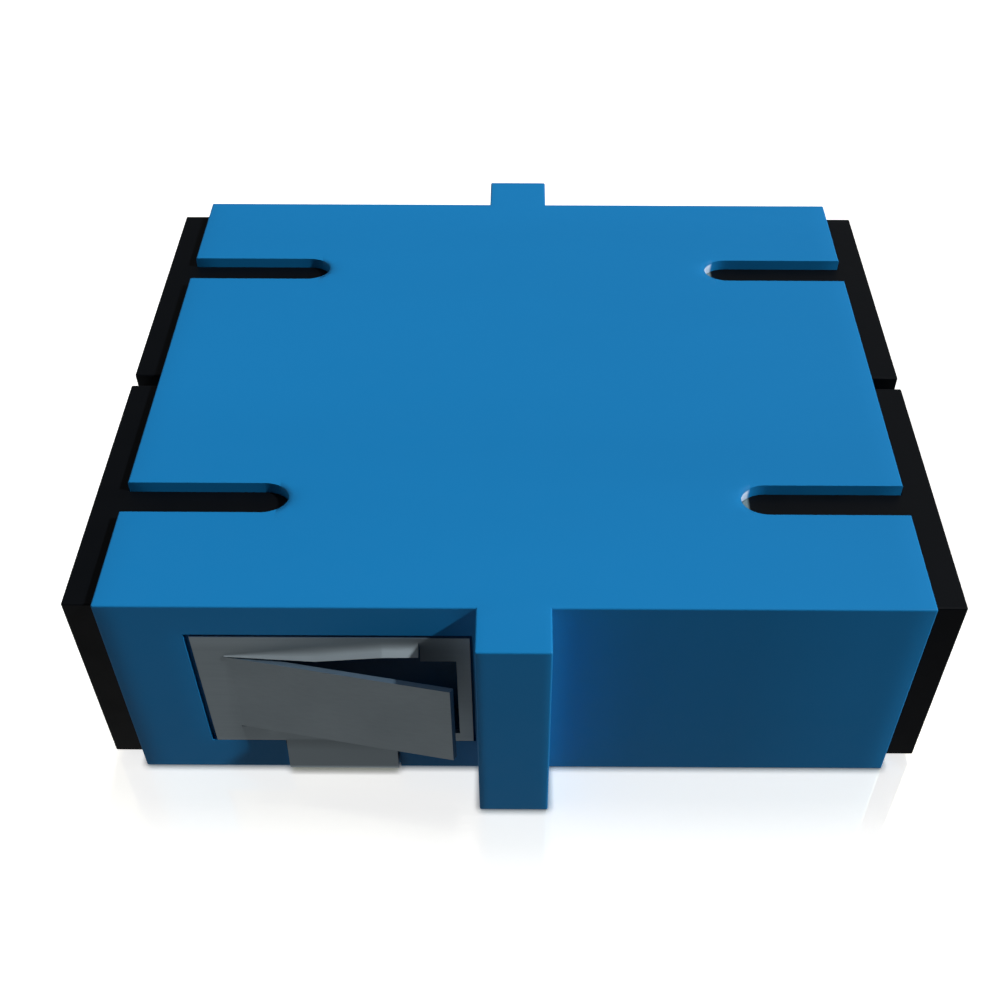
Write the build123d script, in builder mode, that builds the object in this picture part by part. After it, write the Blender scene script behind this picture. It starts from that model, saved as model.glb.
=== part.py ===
from build123d import *
import os
from math import asin, atan2, cos, degrees, radians, sin

# Duplex fibre adapter with a reduced flange, a sheet-steel panel clip and four dust caps.
# Frame: X is the way a plug goes in, Y runs across the two ports, Z is up.
# The origin is under the middle of the body, on the face that the adapter rests on.
# "near" is the -Y port and "far" the +Y port; "left" is the -X end and "right" the +X end.

os.makedirs("parts", exist_ok=True)

# ---------------------------------------------------------------- driving dimensions, mm

# housing outside
body_length = 29.2  # along X
body_width = 26.2  # along Y
body_height = 9.34  # along Z
flange_thickness = 2.63  # along X
flange_reach = 2.03  # beyond each side face
edge_radius = 0.07  # moulded edge break

# ports
port_pitch = 12.7  # between the two ferrule axes
port_width = 9.1
port_height = 7.5
port_corner = 0.35
port_lead_in = 0.25
web_thickness = 1.6  # wall across the middle of each port
web_bore = 5.5

# keyways in the top wall, open to the end faces
keyway_offset = 7.57  # centre of a keyway from the middle plane
keyway_width = 1.6
keyway_length = 6.18  # from the end face to the rounded tip
keyway_tip = 1.0  # length of the rounded tip

# panel clip
sheet = 0.2
clip_left = -11.5
clip_right = -1.57
clip_top = 3.07  # these heights are above and below the body's middle plane
clip_bottom = -2.96
hinge_x = -10.42
window_right = -2.08
window_top = 2.05
window_bottom = -2.47
tongue_top = 2.0
tongue_bottom = -2.04
tongue_tip_x = -2.25
tongue_tip_rise = 1.59  # how far the tip's outer edge stands off the side face
tongue_tip_bevel = 20  # degrees by which the tip's end cut is off square
strap_left = -8.83
strap_right = -4.55
strap_lean = 0.27  # how far the strap leans out by the bottom edge
strap_corner = 0.11  # rounded corners, where the strap narrows to go under the body
strap_gap_left = 0.03
strap_gap_right = 0.07

# lip above the tongue: the frame's top bar curls outwards and ends in a short straight part.
# Each row is X, height where the curl starts, the curl's outer radius, and the straight part's length.
lip_curl = 55  # degrees
lip_rows = [
    (-10.42, 2.12, 0.05, 0.03),
    (-7.11, 2.62, 0.42, 0.20),
    (-4.70, 2.88, 0.38, 0.255),
    (-3.40, 2.90, 0.38, 0.255),
]

# split sleeve
sleeve_bore = 2.5
sleeve_outer = 3.2
sleeve_length = 11.4
sleeve_slit = 0.45

# latch inserts
seat_thickness = 1.2
seat_clearance = 0.03
holder_outer = 4.8
holder_bore = 3.3
holder_tip = 6.25  # end of the holder tube from the middle
holder_mouth = 2.9
hook_tip = 8.0
arm_inner = 3.05  # inner face of a latch arm from the ferrule axis
arm_thickness = 0.9
arm_height = 3.6
barb_reach = 0.65

# dust caps
cap_plate_thickness = 1.25
cap_plate_inner = 0.34  # edge of the head plate nearest the middle plane
cap_plate_outer = 12.63
cap_plate_low = 0.34
cap_plate_high = 8.915
cap_clearance = 0.07
cap_wall = 0.9
key_clearance = 0.05

# ---------------------------------------------------------------- derived

mid = body_height / 2
half_length = body_length / 2
side = body_width / 2
port_y = port_pitch / 2
web_half = web_thickness / 2
seat_end = web_half + seat_thickness
port_top = mid + port_height / 2
keyway_tip_x = half_length - keyway_length

# ---------------------------------------------------------------- housing

# groove that the strap lies in under the body, and the clip's recess in each side face
strap_bend_outer = 0.3
strap_floor_gap = 0.02
groove_depth = strap_floor_gap + sheet + 0.02
channel_left = strap_left - strap_gap_left
channel_right = strap_right + strap_gap_right
recess_left = clip_left - 0.2
recess_right = clip_right + 0.1
recess_top = clip_top + 0.14
recess_bottom = clip_bottom - 0.02
pocket_depth = 1.3  # from the side face, behind the tongue

with BuildPart() as housing:
    # cross-shaped plan: the body, and the flange round its middle
    with BuildSketch(Plane.XY) as plan:
        Rectangle(body_length, body_width)
        Rectangle(flange_thickness, body_width + 2 * flange_reach)
    extrude(amount=body_height)

    # broken edges, except the inner corners where the flange meets the side faces
    inner_corners = (
        housing.edges()
        .filter_by(Axis.Z)
        .filter_by(
            lambda e: abs(abs(e.center().Y) - side) < 1e-3
            and abs(abs(e.center().X) - flange_thickness / 2) < 1e-3
        )
    )
    fillet(
        [e for e in housing.edges() if e not in inner_corners],
        radius=edge_radius,
    )

    # the two ports, each open at both ends, with a web across the middle
    with BuildSketch(Plane.YZ.offset(web_half)) as right_ports:
        with Locations((-port_y, mid), (port_y, mid)):
            RectangleRounded(port_width, port_height, port_corner)
    extrude(amount=half_length - web_half, mode=Mode.SUBTRACT)
    with BuildSketch(Plane.YZ.offset(-half_length)) as left_ports:
        with Locations((-port_y, mid), (port_y, mid)):
            RectangleRounded(port_width, port_height, port_corner)
    extrude(amount=half_length - web_half, mode=Mode.SUBTRACT)

    # round opening in each web, where the two sleeve holder halves meet
    with BuildSketch(Plane.YZ.offset(-web_half)) as web_openings:
        with Locations((-port_y, mid), (port_y, mid)):
            Circle(web_bore / 2)
    extrude(amount=web_thickness, mode=Mode.SUBTRACT)

    # lead-in round each port's mouth
    mouths = (
        housing.faces()
        .filter_by(Axis.X)
        .filter_by(lambda f: abs(abs(f.center().X) - half_length) < 1e-3)
    )
    chamfer(
        [e for f in mouths for w in f.inner_wires() for e in w.edges()],
        length=port_lead_in,
    )

    # snap grooves above and below each insert's seat plate
    with BuildSketch(Plane.XY.offset(mid - port_height / 2 - 0.15)) as snap_grooves:
        for x in (-1, 1):
            with Locations(
                (x * (web_half + 0.6), -port_y), (x * (web_half + 0.6), port_y)
            ):
                Rectangle(0.7, 6.0)
    extrude(amount=port_height + 0.3, mode=Mode.SUBTRACT)

    # keyways: slots through the top wall, with a rounded inner tip
    with BuildSketch(Plane.XY.offset(port_top - 0.5)) as keyways:
        for sx in (-1, 1):
            for sy in (-1, 1):
                straight = keyway_length - keyway_tip
                with Locations(
                    (sx * (half_length - straight / 2 + 0.5), sy * keyway_offset)
                ):
                    Rectangle(straight + 1.0, keyway_width)
                with Locations((sx * (keyway_tip_x + keyway_tip), sy * keyway_offset)):
                    Ellipse(keyway_tip, keyway_width / 2)
    extrude(amount=body_height - port_top + 1.0, mode=Mode.SUBTRACT)

    for s in (-1, 1):
        # shallow recess for the clip's frame in each side face
        with BuildSketch(Plane.XZ.offset(-s * side)) as frame_recess:
            with Locations(
                (
                    (recess_left + recess_right) / 2,
                    mid + (recess_top + recess_bottom) / 2,
                )
            ):
                Rectangle(recess_right - recess_left, recess_top - recess_bottom)
            # channel for the strap, down to the bottom edge
            with Locations(
                (
                    (channel_left + channel_right) / 2,
                    (mid + clip_bottom) / 2,
                )
            ):
                Rectangle(channel_right - channel_left, mid + clip_bottom + 0.2)
        extrude(amount=s * sheet, mode=Mode.SUBTRACT)
        # deeper pocket behind the tongue
        with BuildSketch(Plane.XZ.offset(-s * side)) as tongue_pocket:
            with Locations(
                (
                    (hinge_x + window_right) / 2,
                    mid + (window_top + window_bottom) / 2,
                )
            ):
                Rectangle(
                    window_right - hinge_x + 0.1, window_top - window_bottom + 0.3
                )
        extrude(amount=s * pocket_depth, mode=Mode.SUBTRACT)

    # shallow groove across the underside for the strap
    with BuildSketch(Plane.XY) as strap_groove:
        with Locations(((strap_left + strap_right) / 2, 0)):
            Rectangle(strap_right - strap_left - 2 * strap_corner + 0.16, body_width)
    extrude(amount=groove_depth, mode=Mode.SUBTRACT)

# ---------------------------------------------------------------- panel clip

mid_surface = side - sheet / 2  # the frame's own middle plane, flush outside
strap_mid_y = side + strap_lean - sheet / 2
strap_mid_z = strap_floor_gap + sheet / 2

# the tongue leaves the frame on a soft bend and rises towards its tip
tongue_angle = atan2(tongue_tip_rise, tongue_tip_x - hinge_x)
tip_front = (tongue_tip_x, -(side + tongue_tip_rise))
tip_mid = (
    tongue_tip_x + sheet / 2 * sin(tongue_angle),
    -(side + tongue_tip_rise - sheet / 2 * cos(tongue_angle)),
)
tip_extra = 0.15  # sheet past the square end, trimmed back by the bevelled cut
tip_far = (
    tip_mid[0] + tip_extra * cos(tongue_angle),
    tip_mid[1] - tip_extra * sin(tongue_angle),
)
cut_angle = tongue_angle + radians(tongue_tip_bevel)

with BuildPart() as panel_clip:
    # the frame on the near side face
    with BuildSketch(Plane.XZ.offset(side - sheet)) as frame:
        with BuildLine():
            Polyline(
                (clip_left, mid + clip_top),
                (clip_right, mid + clip_top),
                (clip_right, mid + clip_bottom),
                (strap_right, mid + clip_bottom),
                (strap_right, mid + clip_bottom + 0.24),
                (strap_left, mid + clip_bottom + 0.24),
                (strap_left, mid + clip_bottom),
                (clip_left, mid + clip_bottom),
                close=True,
            )
        make_face()
        # window, cut along the tongue, with a small stop at its upper right corner
        with BuildLine():
            Polyline(
                (hinge_x, mid + window_top),
                *[(x, mid + z) for x, z, r, s in lip_rows],
                (lip_rows[-1][0], mid + 2.8),
                (lip_rows[-1][0] + 0.03, mid + 2.78),
                (lip_rows[-1][0] + 0.03, mid + 1.81),
                (window_right, mid + 1.81),
                (window_right, mid + window_bottom),
                (-7.6, mid + window_bottom),
                (-8.6, mid + tongue_bottom - 0.06),
                (hinge_x, mid + tongue_bottom - 0.06),
                close=True,
            )
        make_face(mode=Mode.SUBTRACT)
    extrude(amount=sheet)

    # the lip above the tongue, from nothing at the hinge to a full curl
    curl = radians(lip_curl)
    for x, z, r, flat in lip_rows:
        with BuildSketch(Plane.YZ.offset(x)):
            outer_y = -side  # the curl's circle is tangent to the frame's outer face
            curl_end = (outer_y - r * (1 - cos(curl)), mid + z - r * sin(curl))
            lip_end = (
                curl_end[0] - flat * sin(curl),
                curl_end[1] - flat * cos(curl),
            )
            inner_angle = asin((mid + z - lip_end[1]) / (r + sheet))
            inner_end = (
                outer_y - r + (r + sheet) * cos(inner_angle),
                lip_end[1],
            )
            with BuildLine():
                Line((outer_y + sheet, mid + z), (outer_y, mid + z))
                ThreePointArc(
                    (outer_y, mid + z),
                    (
                        outer_y - r * (1 - cos(curl / 2)),
                        mid + z - r * sin(curl / 2),
                    ),
                    curl_end,
                )
                Line(curl_end, lip_end)
                Line(lip_end, inner_end)
                ThreePointArc(
                    inner_end,
                    (
                        outer_y - r + (r + sheet) * cos(inner_angle / 2),
                        mid + z - (r + sheet) * sin(inner_angle / 2),
                    ),
                    (outer_y + sheet, mid + z),
                )
            make_face()
    loft(ruled=True)

    # the tongue, bent out from the frame's left bar
    with BuildSketch(Plane.XY.offset(mid + tongue_bottom)) as tongue:
        with BuildLine() as tongue_line:
            FilletPolyline(
                (hinge_x - 0.55, -mid_surface),
                (hinge_x, -mid_surface),
                tip_far,
                radius=1.6,
            )
        trace(line_width=sheet)
    extrude(amount=tongue_top - tongue_bottom)
    # its tip is cut a little off square, the inner edge longer than the outer one
    with BuildSketch(Plane.XY.offset(mid + tongue_bottom - 0.1)) as tip_cut:
        with BuildLine():
            Polyline(
                (
                    tip_front[0] - 0.2 * sin(cut_angle),
                    tip_front[1] - 0.2 * cos(cut_angle),
                ),
                (
                    tip_front[0] + 0.5 * sin(cut_angle),
                    tip_front[1] + 0.5 * cos(cut_angle),
                ),
                (
                    tip_front[0] + 0.5 * sin(cut_angle) + 0.4,
                    tip_front[1] + 0.5 * cos(cut_angle),
                ),
                (
                    tip_front[0] - 0.2 * sin(cut_angle) + 0.4,
                    tip_front[1] - 0.2 * cos(cut_angle),
                ),
                close=True,
            )
        make_face()
    extrude(amount=tongue_top - tongue_bottom + 0.2, mode=Mode.SUBTRACT)

    # the same again on the far side face
    mirror(about=Plane.XZ)

    # the strap: down each side face, leaning out a little, and across underneath
    with BuildSketch(Plane.YZ.offset(strap_left)) as strap:
        with BuildLine() as strap_line:
            FilletPolyline(
                (-mid_surface, mid + clip_bottom + 0.40),
                (-mid_surface, mid + clip_bottom + 0.05),
                (-strap_mid_y, strap_mid_z),
                (strap_mid_y, strap_mid_z),
                (mid_surface, mid + clip_bottom + 0.05),
                (mid_surface, mid + clip_bottom + 0.40),
                radius=[
                    0.9,
                    strap_bend_outer - sheet / 2,
                    strap_bend_outer - sheet / 2,
                    0.9,
                ],
            )
        trace(line_width=sheet)
    extrude(amount=strap_right - strap_left)
    # it narrows underneath, and its corners are rounded at the bends
    with BuildSketch(Plane.XZ.offset(-(side + 1))) as strap_sides:
        for x, s in ((strap_left, 1), (strap_right, -1)):
            with BuildLine():
                top = strap_floor_gap + strap_corner
                l1 = Line((x - s, top), (x - s, -1))
                l2 = Line(l1 @ 1, (x + s * strap_corner, -1))
                l3 = Line(l2 @ 1, (x + s * strap_corner, strap_floor_gap))
                l4 = RadiusArc(l3 @ 1, (x, top), s * strap_corner)
                Line(l4 @ 1, l1 @ 0)
            make_face()
    extrude(amount=2 * (side + 1), mode=Mode.SUBTRACT)
    with BuildSketch(Plane.XZ.offset(-(side - 0.05))) as strap_underside:
        for x, s in ((strap_left, 1), (strap_right, -1)):
            with Locations((x - s * (0.5 - strap_corner / 2), strap_floor_gap)):
                Rectangle(1 + strap_corner, 2 * sheet + 0.05)
    extrude(amount=2 * (side - 0.05), mode=Mode.SUBTRACT)

# ---------------------------------------------------------------- split sleeves

with BuildPart() as split_sleeve_far:
    with BuildSketch(Plane.YZ.offset(-sleeve_length / 2)) as sleeve_ring:
        with Locations((port_y, mid)):
            Circle(sleeve_outer / 2)
            Circle(sleeve_bore / 2, mode=Mode.SUBTRACT)
        with Locations((port_y, mid + sleeve_outer / 2)):
            Rectangle(sleeve_slit, sleeve_outer, mode=Mode.SUBTRACT)
    extrude(amount=sleeve_length)
    chamfer(
        split_sleeve_far.edges()
        .filter_by(GeomType.CIRCLE)
        .filter_by(lambda e: abs(e.radius - sleeve_bore / 2) < 1e-3),
        length=0.08,
    )

with BuildPart() as split_sleeve_near:
    mirror(split_sleeve_far.part, about=Plane.XZ)

# ---------------------------------------------------------------- latch inserts

with BuildPart() as latch_insert_right_far:
    # seat plate against the web
    with BuildSketch(Plane.YZ.offset(web_half)) as seat:
        with Locations((port_y, mid)):
            RectangleRounded(
                port_width - 2 * seat_clearance,
                port_height - 2 * seat_clearance,
                port_corner,
            )
    extrude(amount=seat_thickness)
    # snap ribs above and below, seated in the port's grooves
    with BuildSketch(Plane.XY.offset(mid - port_height / 2 - 0.1)) as snap_ribs:
        with Locations((web_half + 0.6, port_y)):
            Rectangle(0.5, 5.6)
    extrude(amount=port_height + 0.2)
    # boss through the web, up to the middle plane
    with BuildSketch(Plane.YZ) as boss:
        with Locations((port_y, mid)):
            Circle(web_bore / 2 - 0.05)
    extrude(amount=web_half)
    # holder tube for half of the sleeve
    with BuildSketch(Plane.YZ.offset(web_half)) as holder:
        with Locations((port_y, mid)):
            Circle(holder_outer / 2)
    extrude(amount=holder_tip - web_half)
    chamfer(
        latch_insert_right_far.faces()
        .sort_by(Axis.X)[-1]
        .edges()
        .filter_by(GeomType.CIRCLE),
        length=0.3,
    )
    # two latch arms, one each side of the holder, with inward barbs
    for s in (-1, 1):
        with BuildSketch(Plane.XY.offset(mid - arm_height / 2)) as arm:
            with BuildLine():
                Polyline(
                    (seat_end - 0.3, port_y + s * arm_inner),
                    (hook_tip - 1.25, port_y + s * arm_inner),
                    (hook_tip - 1.05, port_y + s * (arm_inner - barb_reach)),
                    (hook_tip - 0.75, port_y + s * (arm_inner - barb_reach)),
                    (hook_tip, port_y + s * (arm_inner + 0.25)),
                    (hook_tip, port_y + s * (arm_inner + arm_thickness - 0.2)),
                    (hook_tip - 0.2, port_y + s * (arm_inner + arm_thickness)),
                    (seat_end - 0.3, port_y + s * (arm_inner + arm_thickness)),
                    close=True,
                )
            make_face()
        extrude(amount=arm_height)
    # soft roots where the arms and the holder leave the seat plate
    roots = (
        latch_insert_right_far.edges()
        .filter_by(lambda e: abs(e.center().X - seat_end) < 1e-3)
        .filter_by(
            lambda e: abs(e.center().Z - mid) < arm_height / 2 + 0.01
            and abs(e.center().Y - port_y) < arm_inner + arm_thickness - 0.05
        )
        .filter_by(GeomType.LINE)
    )
    fillet(roots, radius=0.25)
    # bore for the sleeve, closed by a lip with a lead-in for the ferrule
    with BuildSketch(Plane.YZ) as sleeve_seat:
        with Locations((port_y, mid)):
            Circle(holder_bore / 2)
    extrude(amount=sleeve_length / 2 + 0.05, mode=Mode.SUBTRACT)
    with BuildSketch(Plane.YZ) as ferrule_mouth:
        with Locations((port_y, mid)):
            Circle(holder_mouth / 2)
    extrude(amount=holder_tip, mode=Mode.SUBTRACT)
    chamfer(
        latch_insert_right_far.edges()
        .filter_by(GeomType.CIRCLE)
        .filter_by(
            lambda e: abs(e.radius - holder_mouth / 2) < 1e-3
            and abs(e.center().X - holder_tip) < 1e-3
        ),
        length=0.25,
    )

with BuildPart() as latch_insert_left_far:
    mirror(latch_insert_right_far.part, about=Plane.YZ)

with BuildPart() as latch_insert_right_near:
    mirror(latch_insert_right_far.part, about=Plane.XZ)

with BuildPart() as latch_insert_left_near:
    mirror(latch_insert_left_far.part, about=Plane.XZ)

# ---------------------------------------------------------------- dust caps

with BuildPart() as dust_cap_right_far:
    # head plate against the end face
    with BuildSketch(Plane.YZ.offset(half_length)) as head:
        with Locations(
            (
                (cap_plate_inner + cap_plate_outer) / 2,
                (cap_plate_low + cap_plate_high) / 2,
            )
        ):
            Rectangle(
                cap_plate_outer - cap_plate_inner, cap_plate_high - cap_plate_low
            )
    extrude(amount=cap_plate_thickness)
    fillet(dust_cap_right_far.edges(), radius=edge_radius)
    # hollow plug in the port
    with BuildSketch(Plane.YZ.offset(keyway_tip_x)) as plug:
        with Locations((port_y, mid)):
            RectangleRounded(
                port_width - 2 * cap_clearance,
                port_height - 2 * cap_clearance,
                port_corner,
            )
    extrude(amount=keyway_length + 0.2)
    chamfer(
        dust_cap_right_far.faces().sort_by(Axis.X)[0].edges(),
        length=0.25,
    )
    # key rib in the keyway, level with the head plate's top edge
    with BuildSketch(Plane.XY.offset(port_top - 0.6)) as key_rib:
        straight = keyway_length - keyway_tip
        with Locations((half_length - straight / 2 + 0.1, keyway_offset)):
            Rectangle(straight + 0.2, keyway_width - 2 * key_clearance)
        with Locations((keyway_tip_x + keyway_tip, keyway_offset)):
            Ellipse(keyway_tip - key_clearance, keyway_width / 2 - key_clearance)
    extrude(amount=cap_plate_high - port_top + 0.6)
    # hollow, open towards the ferrule
    with BuildSketch(Plane.YZ.offset(keyway_tip_x)) as hollow:
        with Locations((port_y, mid)):
            RectangleRounded(
                port_width - 2 * cap_clearance - 2 * cap_wall,
                port_height - 2 * cap_clearance - 2 * cap_wall,
                0.3,
            )
    extrude(amount=keyway_length, mode=Mode.SUBTRACT)

with BuildPart() as dust_cap_left_far:
    mirror(dust_cap_right_far.part, about=Plane.YZ)

with BuildPart() as dust_cap_right_near:
    mirror(dust_cap_right_far.part, about=Plane.XZ)

with BuildPart() as dust_cap_left_near:
    mirror(dust_cap_left_far.part, about=Plane.XZ)

# ---------------------------------------------------------------- labels and export

housing.part.label = "housing"
panel_clip.part.label = "panel_clip"
split_sleeve_near.part.label = "split_sleeve_near"
split_sleeve_far.part.label = "split_sleeve_far"
latch_insert_left_near.part.label = "latch_insert_left_near"
latch_insert_left_far.part.label = "latch_insert_left_far"
latch_insert_right_near.part.label = "latch_insert_right_near"
latch_insert_right_far.part.label = "latch_insert_right_far"
dust_cap_left_near.part.label = "dust_cap_left_near"
dust_cap_left_far.part.label = "dust_cap_left_far"
dust_cap_right_near.part.label = "dust_cap_right_near"
dust_cap_right_far.part.label = "dust_cap_right_far"

export_step(housing.part, "parts/housing.step")
export_step(panel_clip.part, "parts/panel_clip.step")
export_step(split_sleeve_near.part, "parts/split_sleeve_near.step")
export_step(split_sleeve_far.part, "parts/split_sleeve_far.step")
export_step(latch_insert_left_near.part, "parts/latch_insert_left_near.step")
export_step(latch_insert_left_far.part, "parts/latch_insert_left_far.step")
export_step(latch_insert_right_near.part, "parts/latch_insert_right_near.step")
export_step(latch_insert_right_far.part, "parts/latch_insert_right_far.step")
export_step(dust_cap_left_near.part, "parts/dust_cap_left_near.step")
export_step(dust_cap_left_far.part, "parts/dust_cap_left_far.step")
export_step(dust_cap_right_near.part, "parts/dust_cap_right_near.step")
export_step(dust_cap_right_far.part, "parts/dust_cap_right_far.step")

print("tongue angle", round(degrees(tongue_angle), 2), "degrees")
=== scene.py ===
import math

import bpy
from mathutils import Matrix, Vector

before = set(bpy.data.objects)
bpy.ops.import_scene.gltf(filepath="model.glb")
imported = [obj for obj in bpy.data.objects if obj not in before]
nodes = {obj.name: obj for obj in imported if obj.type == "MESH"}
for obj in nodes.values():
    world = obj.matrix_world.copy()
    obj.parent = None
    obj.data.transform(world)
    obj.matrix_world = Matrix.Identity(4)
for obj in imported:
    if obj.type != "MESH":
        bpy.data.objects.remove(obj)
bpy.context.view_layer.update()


# ---------------------------------------------------------------- node helpers


def new_material(name):
    mat = bpy.data.materials.new(name)
    mat.use_nodes = True
    tree = mat.node_tree
    tree.nodes.clear()
    out = tree.nodes.new("ShaderNodeOutputMaterial")
    shader = tree.nodes.new("ShaderNodeBsdfPrincipled")
    tree.links.new(shader.outputs["BSDF"], out.inputs["Surface"])
    return mat, tree, shader


def object_coords(tree, scale=(1, 1, 1)):
    coord = tree.nodes.new("ShaderNodeTexCoord")
    mapping = tree.nodes.new("ShaderNodeMapping")
    mapping.inputs["Scale"].default_value = scale
    tree.links.new(coord.outputs["Object"], mapping.inputs["Vector"])
    return mapping.outputs["Vector"]


def noise(tree, vector, scale, detail=3.0, roughness=0.5, distortion=0.0):
    n = tree.nodes.new("ShaderNodeTexNoise")
    n.inputs["Scale"].default_value = scale
    n.inputs["Detail"].default_value = detail
    n.inputs["Roughness"].default_value = roughness
    n.inputs["Distortion"].default_value = distortion
    tree.links.new(vector, n.inputs["Vector"])
    return n.outputs["Fac"]


def remap(tree, value, low, high, to_low, to_high):
    m = tree.nodes.new("ShaderNodeMapRange")
    m.inputs["From Min"].default_value = low
    m.inputs["From Max"].default_value = high
    m.inputs["To Min"].default_value = to_low
    m.inputs["To Max"].default_value = to_high
    tree.links.new(value, m.inputs["Value"])
    return m.outputs["Result"]


def mix_colour(tree, fac, a, b):
    m = tree.nodes.new("ShaderNodeMix")
    m.data_type = "RGBA"
    m.inputs["A"].default_value = a
    m.inputs["B"].default_value = b
    tree.links.new(fac, m.inputs["Factor"])
    return m.outputs["Result"]


def bump(tree, height, strength, distance, normal=None):
    b = tree.nodes.new("ShaderNodeBump")
    b.inputs["Strength"].default_value = strength
    b.inputs["Distance"].default_value = distance
    tree.links.new(height, b.inputs["Height"])
    if normal is not None:
        tree.links.new(normal, b.inputs["Normal"])
    return b.outputs["Normal"]


def math_node(tree, kind, a, b=None):
    m = tree.nodes.new("ShaderNodeMath")
    m.operation = kind
    for socket, value in zip(m.inputs, (a, b)):
        if isinstance(value, (int, float)):
            socket.default_value = value
        elif value is not None:
            tree.links.new(value, socket)
    return m.outputs["Value"]


def mix_value(tree, fac, a, b):
    m = tree.nodes.new("ShaderNodeMix")
    for name, value in (("Factor", fac), ("A", a), ("B", b)):
        if isinstance(value, (int, float)):
            m.inputs[name].default_value = value
        else:
            tree.links.new(value, m.inputs[name])
    return m.outputs["Result"]


def crowned(tree, amount, sink):
    """Moulded faces that are not quite flat: along X the surface normal leans part of the way that a rounded
    edge would take it, the right-hand side faces sink a little in the middle, and the slots' tips are rounded."""
    geometry = tree.nodes.new("ShaderNodeNewGeometry")
    flat = tree.nodes.new("ShaderNodeSeparateXYZ")
    tree.links.new(geometry.outputs["Normal"], flat.inputs["Vector"])
    coord = tree.nodes.new("ShaderNodeTexCoord")
    place = tree.nodes.new("ShaderNodeSeparateXYZ")
    tree.links.new(coord.outputs["Object"], place.inputs["Vector"])
    x, z = place.outputs["X"], place.outputs["Z"]
    away = math_node(tree, "ABSOLUTE", x)
    across = math_node(tree, "ABSOLUTE", place.outputs["Y"])
    on_flange = remap(tree, across, 0.0132, 0.0135, 0.0, 1.0)
    at_tip = math_node(
        tree,
        "MULTIPLY",
        math_node(
            tree,
            "MULTIPLY",
            remap(tree, away, 0.0078, 0.0083, 0.0, 1.0),
            remap(tree, away, 0.00880, 0.00884, 1.0, 0.0),
        ),
        math_node(
            tree,
            "MULTIPLY",
            remap(tree, math_node(tree, "ABSOLUTE", math_node(tree, "SUBTRACT", across, 0.00757)), 0.0009, 0.0012, 1.0, 0.0),
            remap(tree, z, 0.0084, 0.0087, 0.0, 1.0),
        ),
    )
    rounded = tree.nodes.new("ShaderNodeBevel")
    rounded.samples = 6
    reach = mix_value(tree, on_flange, 0.0014, 0.0005)
    tree.links.new(mix_value(tree, at_tip, reach, 0.0005), rounded.inputs["Radius"])
    soft = tree.nodes.new("ShaderNodeSeparateXYZ")
    tree.links.new(rounded.outputs["Normal"], soft.inputs["Vector"])
    upright = math_node(tree, "SUBTRACT", 1.0, math_node(tree, "ABSOLUTE", flat.outputs["Z"]))
    hollow = math_node(
        tree,
        "MULTIPLY",
        remap(tree, x, 0.0020, 0.0045, 0.0, 1.0),
        remap(tree, x, 0.0085, 0.0125, 1.0, 0.0),
    )
    lean = mix_value(
        tree, remap(tree, upright, 0.0, 1.0, amount * 0.4, amount), flat.outputs["X"], soft.outputs["X"]
    )
    sunk = math_node(
        tree, "SUBTRACT", lean, math_node(tree, "MULTIPLY", math_node(tree, "MULTIPLY", hollow, upright), sink)
    )
    joined = tree.nodes.new("ShaderNodeCombineXYZ")
    tree.links.new(mix_value(tree, at_tip, sunk, soft.outputs["X"]), joined.inputs["X"])
    tree.links.new(mix_value(tree, at_tip, flat.outputs["Y"], soft.outputs["Y"]), joined.inputs["Y"])
    tree.links.new(mix_value(tree, at_tip, flat.outputs["Z"], soft.outputs["Z"]), joined.inputs["Z"])
    unit = tree.nodes.new("ShaderNodeVectorMath")
    unit.operation = "NORMALIZE"
    tree.links.new(joined.outputs["Vector"], unit.inputs[0])
    return unit.outputs["Vector"]


def grow(colour, k):
    return tuple(min(1.0, c * k) for c in colour[:3]) + (1.0,)


# ---------------------------------------------------------------- materials


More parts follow.
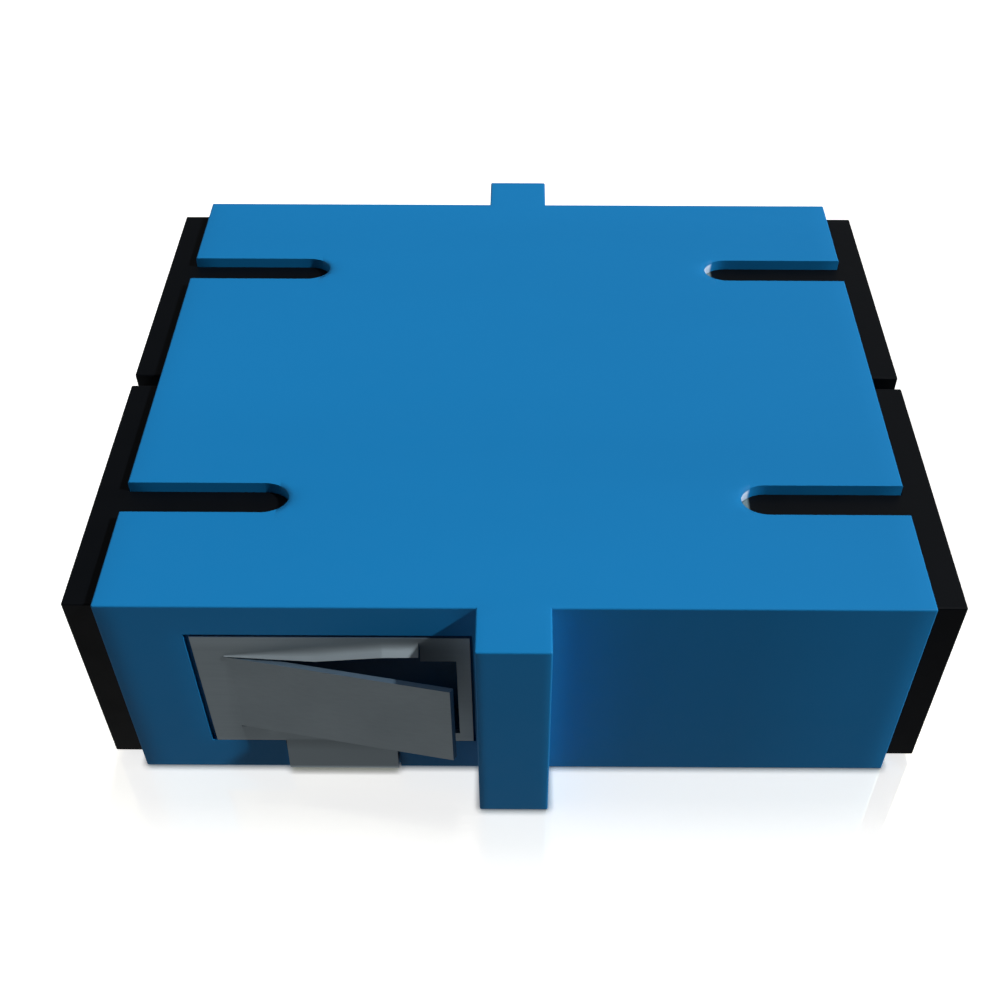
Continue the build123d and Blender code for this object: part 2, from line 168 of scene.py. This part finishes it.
def moulded_plastic(
    name, colour, roughness, grain, depth, specular=0.5, spread=0.04, crown=None, tip_glint=None, pocket_shade_level=None
):
    """Injection-moulded plastic: a fine spark-eroded grain, slow changes of gloss, slight flow streaks, and
    optionally a painted glint (colour mixed toward a pale tone) at the inner tips of the right-hand slots and
    painted shade darkening the tongues' pockets."""
    mat, tree, shader = new_material(name)
    plain = object_coords(tree)
    drawn = object_coords(tree, (0.25, 1.0, 1.0))
    fine = noise(tree, plain, grain, 3.0, 0.6)
    medium = noise(tree, plain, grain * 0.12, 2.0, 0.5)
    slow = noise(tree, drawn, 90.0, 3.0, 0.5)
    tone = mix_colour(
        tree,
        remap(tree, slow, 0.3, 0.7, 0.0, 1.0),
        grow(colour, 1.0 - spread),
        grow(colour, 1.0 + spread),
    )
    # painted glint: at the inner tips of the right-hand slots (X > 0 only) the colour is mixed toward a pale tone
    # that stands in for a highlight
    if tip_glint:
        place = tree.nodes.new("ShaderNodeSeparateXYZ")
        tree.links.new(plain, place.inputs["Vector"])
        x = place.outputs["X"]
        off = math_node(tree, "SUBTRACT", math_node(tree, "ABSOLUTE", place.outputs["Y"]), 0.00757)
        along = math_node(
            tree, "MULTIPLY", remap(tree, x, 0.00838, 0.00842, 0.0, 1.0), remap(tree, x, 0.00872, 0.00882, 1.0, 0.0)
        )
        deep = math_node(
            tree,
            "MULTIPLY",
            remap(tree, math_node(tree, "ABSOLUTE", off), 0.00070, 0.00082, 1.0, 0.0),
            remap(tree, place.outputs["Z"], 0.0084, 0.0087, 0.0, 1.0),
        )
        below_rim = remap(tree, place.outputs["Z"], 0.00922, 0.00930, 1.0, 0.0)
        pale = tree.nodes.new("ShaderNodeMix")
        pale.data_type = "RGBA"
        tree.links.new(
            math_node(tree, "MULTIPLY", math_node(tree, "MULTIPLY", along, deep), below_rim),
            pale.inputs["Factor"],
        )
        tree.links.new(tone, pale.inputs["A"])
        pale.inputs["B"].default_value = tip_glint
        tone = pale.outputs["Result"]
    # painted shade: inside the tongues' pockets the colour is multiplied darker, where shade falls
    if pocket_shade_level:
        place = tree.nodes.new("ShaderNodeSeparateXYZ")
        tree.links.new(plain, place.inputs["Vector"])
        inward = math_node(tree, "ABSOLUTE", math_node(tree, "SUBTRACT", math_node(tree, "ABSOLUTE", place.outputs["Y"]), 0.01230))
        along = math_node(tree, "ABSOLUTE", math_node(tree, "ADD", place.outputs["X"], 0.00620))
        high = math_node(tree, "ABSOLUTE", math_node(tree, "SUBTRACT", place.outputs["Z"], 0.00445))
        inside = math_node(
            tree,
            "MULTIPLY",
            remap(tree, inward, 0.00052, 0.00062, 1.0, 0.0),
            math_node(
                tree,
                "MULTIPLY",
                remap(tree, along, 0.00450, 0.00470, 1.0, 0.0),
                remap(tree, high, 0.00290, 0.00310, 1.0, 0.0),
            ),
        )
        pocket_shade_mix = tree.nodes.new("ShaderNodeMix")
        pocket_shade_mix.data_type = "RGBA"
        pocket_shade_mix.blend_type = "MULTIPLY"
        tree.links.new(inside, pocket_shade_mix.inputs["Factor"])
        tree.links.new(tone, pocket_shade_mix.inputs["A"])
        pocket_shade_mix.inputs["B"].default_value = (pocket_shade_level, pocket_shade_level, pocket_shade_level, 1.0)
        tone = pocket_shade_mix.outputs["Result"]
    tree.links.new(tone, shader.inputs["Base Color"])
    tree.links.new(
        remap(tree, medium, 0.3, 0.7, roughness - 0.05, roughness + 0.05),
        shader.inputs["Roughness"],
    )
    base = crowned(tree, *crown) if crown else None
    first = bump(tree, medium, 0.08, depth * 2, base)
    tree.links.new(bump(tree, fine, 0.22, depth, first), shader.inputs["Normal"])
    shader.inputs["Specular IOR Level"].default_value = specular
    return mat


def rolled_steel(name, colour, roughness):
    """Thin spring sheet: rolling lines along X and faint stains of gloss. Its colour carries painted light: lighter
    on faces tilted upward, low on the strap and along the top bar, and darker and bluer on upward-facing cut edges
    (painted shade and a painted reflection of the blue housing)."""
    mat, tree, shader = new_material(name)
    lines = object_coords(tree, (60.0, 1800.0, 1800.0))
    cross = object_coords(tree, (900.0, 900.0, 900.0))
    roll = noise(tree, lines, 6.0, 3.0, 0.6)
    cloud = noise(tree, cross, 0.5, 2.0, 0.5)
    tone = mix_colour(
        tree,
        remap(tree, roll, 0.3, 0.7, 0.0, 1.0),
        grow(colour, 0.97),
        grow(colour, 1.03),
    )
    place = tree.nodes.new("ShaderNodeSeparateXYZ")
    tree.links.new(object_coords(tree), place.inputs["Vector"])
    geometry = tree.nodes.new("ShaderNodeNewGeometry")
    facing = tree.nodes.new("ShaderNodeSeparateXYZ")
    tree.links.new(geometry.outputs["Normal"], facing.inputs["Vector"])
    # painted light: the colour is mixed toward a lighter tone on faces tilted upward (the curled lip), low on the
    # strap and along the top bar
    tilted = math_node(
        tree,
        "MULTIPLY",
        remap(tree, facing.outputs["Z"], 0.05, 0.45, 0.0, 0.6),
        remap(tree, facing.outputs["Z"], 0.90, 0.95, 1.0, 0.0),
    )
    low = remap(tree, place.outputs["Z"], 0.0019, 0.0012, 0.0, 1.0)
    high = remap(tree, place.outputs["Z"], 0.0071, 0.0075, 0.0, 0.3)
    painted_sheen = tree.nodes.new("ShaderNodeMix")
    painted_sheen.data_type = "RGBA"
    tree.links.new(
        math_node(tree, "MAXIMUM", low, math_node(tree, "MAXIMUM", high, tilted)), painted_sheen.inputs["Factor"]
    )
    tree.links.new(tone, painted_sheen.inputs["A"])
    painted_sheen.inputs["B"].default_value = grow(colour, 1.42)
    # painted shade and painted reflection: faces pointing straight up (the cut edges) are multiplied darker and
    # bluer, standing in for the blue housing reflected in them
    edge = tree.nodes.new("ShaderNodeMix")
    edge.data_type = "RGBA"
    edge.blend_type = "MULTIPLY"
    tree.links.new(remap(tree, facing.outputs["Z"], 0.95, 0.99, 0.0, 1.0), edge.inputs["Factor"])
    tree.links.new(painted_sheen.outputs["Result"], edge.inputs["A"])
    edge.inputs["B"].default_value = (0.58, 0.73, 0.89, 1.0)
    tree.links.new(edge.outputs["Result"], shader.inputs["Base Color"])
    tree.links.new(
        remap(tree, cloud, 0.3, 0.7, roughness - 0.02, roughness + 0.02),
        shader.inputs["Roughness"],
    )
    tree.links.new(bump(tree, roll, 0.10, 0.000004), shader.inputs["Normal"])
    shader.inputs["Metallic"].default_value = 1.0
    return mat


BLUE = (0.0088, 0.196, 0.476, 1.0)
BLACK = (0.0017, 0.0025, 0.0038, 1.0)
STEEL = (0.344, 0.404, 0.438, 1.0)

# housing: a painted glint at the right-hand slots' inner tips and painted shade in the tongues' pockets
housing_blue = moulded_plastic(
    "housing_plastic", BLUE, 0.44, 9000.0, 0.000006, 0.12, crown=(0.36, 0.055), tip_glint=(0.50, 0.63, 0.80, 1.0), pocket_shade_level=0.42
)
# caps: a painted glint on the key rib's tip in the right-hand slots
cap_black = moulded_plastic(
    "cap_plastic", BLACK, 0.46, 7000.0, 0.000006, 0.115, 0.08, tip_glint=(0.15, 0.21, 0.23, 1.0)
)
insert_plastic = moulded_plastic(
    "insert_plastic", (0.66, 0.64, 0.58, 1.0), 0.45, 8000.0, 0.000005, 0.4
)
sleeve_ceramic = moulded_plastic(
    "sleeve_ceramic", (0.83, 0.82, 0.78, 1.0), 0.18, 12000.0, 0.000001, 0.6, 0.02
)
clip_steel = rolled_steel("clip_steel", STEEL, 0.58)

finish_of = {
    "housing": housing_blue,
    "panel_clip": clip_steel,
    "split_sleeve": sleeve_ceramic,
    "latch_insert": insert_plastic,
    "dust_cap": cap_black,
}
for name, obj in nodes.items():
    mat = next(m for key, m in finish_of.items() if name.startswith(key))
    obj.data.materials.clear()
    obj.data.materials.append(mat)


# ---------------------------------------------------------------- floor, light, camera

# key: a distant lamp, high on the right and a little to the front
key = bpy.data.lights.new("key", "SUN")
key.energy = 3.77
key.angle = math.radians(2.0)
key_obj = bpy.data.objects.new("key", key)
bpy.context.scene.collection.objects.link(key_obj)
key_obj.rotation_euler = Vector((-0.733, 0.142, -0.665)).to_track_quat("-Z", "Y").to_euler()

# soft surroundings: pale panels, each as its direction, its brightness and how narrow it is
PANELS = [
    ((-0.85, 0.0, 0.50), 0.640, 4.0),
    ((0.0, 0.0, -1.0), 0.490, 4.0),
    ((-0.65, -0.50, -0.57), 0.207, 4.0),
    ((0.50, 0.50, 0.70), 0.800, 16.0),
    ((0.15, 0.95, -0.30), 0.350, 4.0),
]
world = bpy.data.worlds.new("studio")
bpy.context.scene.world = world
world.use_nodes = True
room = world.node_tree
background = room.nodes["Background"]
background.inputs["Color"].default_value = (1, 1, 1, 1)
coord = room.nodes.new("ShaderNodeTexCoord")
total = None
for direction, brightness, narrow in PANELS:
    facing = room.nodes.new("ShaderNodeVectorMath")
    facing.operation = "DOT_PRODUCT"
    room.links.new(coord.outputs["Generated"], facing.inputs[0])
    facing.inputs[1].default_value = Vector(direction).normalized()
    front = room.nodes.new("ShaderNodeClamp")
    room.links.new(facing.outputs["Value"], front.inputs["Value"])
    fade = room.nodes.new("ShaderNodeMath")
    fade.operation = "POWER"
    room.links.new(front.outputs["Result"], fade.inputs[0])
    fade.inputs[1].default_value = narrow
    level = room.nodes.new("ShaderNodeMath")
    level.operation = "MULTIPLY_ADD"
    room.links.new(fade.outputs["Value"], level.inputs[0])
    level.inputs[1].default_value = brightness
    level.inputs[2].default_value = 0.0
    if total is not None:
        room.links.new(total, level.inputs[2])
    total = level.outputs["Value"]
room.links.new(total, background.inputs["Strength"])

# pale floor that runs out to white, with a faint gloss; its glow is painted darker close to the object (painted
# contact shade and painted shade where the object's reflection lies)
bpy.ops.mesh.primitive_plane_add(size=3.0, location=(0, 0, -0.00001))
floor = bpy.context.object
floor.name = "floor"
floor_mat = bpy.data.materials.new("floor_white")
floor_mat.use_nodes = True
ft = floor_mat.node_tree
ft.nodes.clear()
floor_out = ft.nodes.new("ShaderNodeOutputMaterial")
contact = ft.nodes.new("ShaderNodeAmbientOcclusion")
contact.samples = 8
contact.inputs["Distance"].default_value = 0.0003
shade = ft.nodes.new("ShaderNodeMath")
shade.operation = "POWER"
ft.links.new(contact.outputs["AO"], shade.inputs[0])
shade.inputs[1].default_value = 2.0
spot = ft.nodes.new("ShaderNodeSeparateXYZ")
ft.links.new(object_coords(ft), spot.inputs["Vector"])
# painted shade: close to the object the floor's glow drops from 0.95 to 0.775, and it is multiplied by the squared
# occlusion at the contact
near = math_node(
    ft,
    "MULTIPLY",
    remap(ft, math_node(ft, "ABSOLUTE", spot.outputs["X"]), 0.01585, 0.01785, 1.0, 0.0),
    remap(ft, math_node(ft, "ABSOLUTE", spot.outputs["Y"]), 0.01520, 0.02250, 1.0, 0.0),
)
glow = ft.nodes.new("ShaderNodeEmission")
glow.inputs["Color"].default_value = (1, 1, 1, 1)
ft.links.new(
    math_node(ft, "MULTIPLY", shade.outputs["Value"], remap(ft, near, 0.0, 1.0, 0.95, 0.775)),
    glow.inputs["Strength"],
)
matt = ft.nodes.new("ShaderNodeBsdfDiffuse")
matt.inputs["Color"].default_value = (0.9, 0.87, 0.80, 1)
gloss = ft.nodes.new("ShaderNodeBsdfGlossy")
tint = ft.nodes.new("ShaderNodeMix")
tint.data_type = "RGBA"
ft.links.new(near, tint.inputs["Factor"])
tint.inputs["A"].default_value = (0.0, 0.0, 0.0, 1)
tint.inputs["B"].default_value = (0.6, 0.55, 0.36, 1)
ft.links.new(tint.outputs["Result"], gloss.inputs["Color"])
gloss.inputs["Roughness"].default_value = 0.03
sum_a = ft.nodes.new("ShaderNodeAddShader")
sum_b = ft.nodes.new("ShaderNodeAddShader")
ft.links.new(glow.outputs["Emission"], sum_a.inputs[0])
ft.links.new(matt.outputs["BSDF"], sum_a.inputs[1])
ft.links.new(sum_a.outputs["Shader"], sum_b.inputs[0])
ft.links.new(gloss.outputs["BSDF"], sum_b.inputs[1])
ft.links.new(sum_b.outputs["Shader"], floor_out.inputs["Surface"])
floor.data.materials.append(floor_mat)
floor.visible_diffuse = False
floor.visible_glossy = False

# white backdrop past the floor's edge, which gives and blocks no light
bpy.ops.mesh.primitive_uv_sphere_add(segments=48, ring_count=24, radius=2.5)
backdrop = bpy.context.object
backdrop.name = "backdrop"
backdrop_mat = bpy.data.materials.new("backdrop_white")
backdrop_mat.use_nodes = True
bt = backdrop_mat.node_tree
bt.nodes.clear()
backdrop_out = bt.nodes.new("ShaderNodeOutputMaterial")
plain_white = bt.nodes.new("ShaderNodeEmission")
plain_white.inputs["Color"].default_value = (1, 1, 1, 1)
plain_white.inputs["Strength"].default_value = 1.0
bt.links.new(plain_white.outputs["Emission"], backdrop_out.inputs["Surface"])
backdrop.data.materials.append(backdrop_mat)
backdrop.visible_diffuse = False
backdrop.visible_glossy = False
backdrop.visible_transmission = False
backdrop.visible_shadow = False

# a column of small lamps behind the object lights the floor only
floor_only = bpy.data.collections.new("floor_only")
floor_only.objects.link(floor)
for degrees_up in (66.0, 69.0, 72.0, 75.5, 79.0):
    lamp = bpy.data.lights.new("back_lamp", "SUN")
    lamp.energy = 0.12
    lamp.angle = math.radians(4.0)
    lamp_obj = bpy.data.objects.new("back_lamp", lamp)
    bpy.context.scene.collection.objects.link(lamp_obj)
    up_angle = math.radians(degrees_up)
    lamp_obj.rotation_euler = (
        Vector((0.0, -math.cos(up_angle), -math.sin(up_angle))).to_track_quat("-Z", "Y").to_euler()
    )
    lamp_obj.light_linking.receiver_collection = floor_only

# the key lights the object only, so the floor keeps the room's soft light
unlit = bpy.data.collections.new("not_lit_by_key")
unlit.objects.link(floor)
unlit.collection_objects[0].light_linking.link_state = "EXCLUDE"
key_obj.light_linking.receiver_collection = unlit

# camera, solved from the corners of the body, flange and caps in the photograph
FOCAL_PX = 1293.36
ELEVATION = math.radians(48.3665)
YAW = math.radians(-0.1897)
ROLL = math.radians(0.1484)
forward = Vector(
    (
        math.sin(YAW) * math.cos(ELEVATION),
        math.cos(YAW) * math.cos(ELEVATION),
        -math.sin(ELEVATION),
    )
)
right = forward.cross(Vector((0, 0, 1))).normalized()
up = right.cross(forward)
right2 = right * math.cos(ROLL) + up * math.sin(ROLL)
up2 = up * math.cos(ROLL) - right * math.sin(ROLL)
turn = Matrix((right2, up2, -forward)).transposed()

cam_data = bpy.data.cameras.new("camera")
cam_data.sensor_fit = "HORIZONTAL"
cam_data.sensor_width = 36.0
cam_data.lens = 36.0 * FOCAL_PX / 990.0
cam_data.shift_x = -22.18 / 990.0
cam_data.shift_y = 133.19 / 990.0
cam_data.clip_start = 0.001
cam_data.clip_end = 20.0
cam = bpy.data.objects.new("camera", cam_data)
bpy.context.scene.collection.objects.link(cam)
cam.matrix_world = Matrix.Translation((0.0002105, -0.0431571, 0.0374498 + 0.00467)) @ turn.to_4x4()
bpy.context.scene.camera = cam

bpy.context.scene.view_settings.view_transform = "Standard"
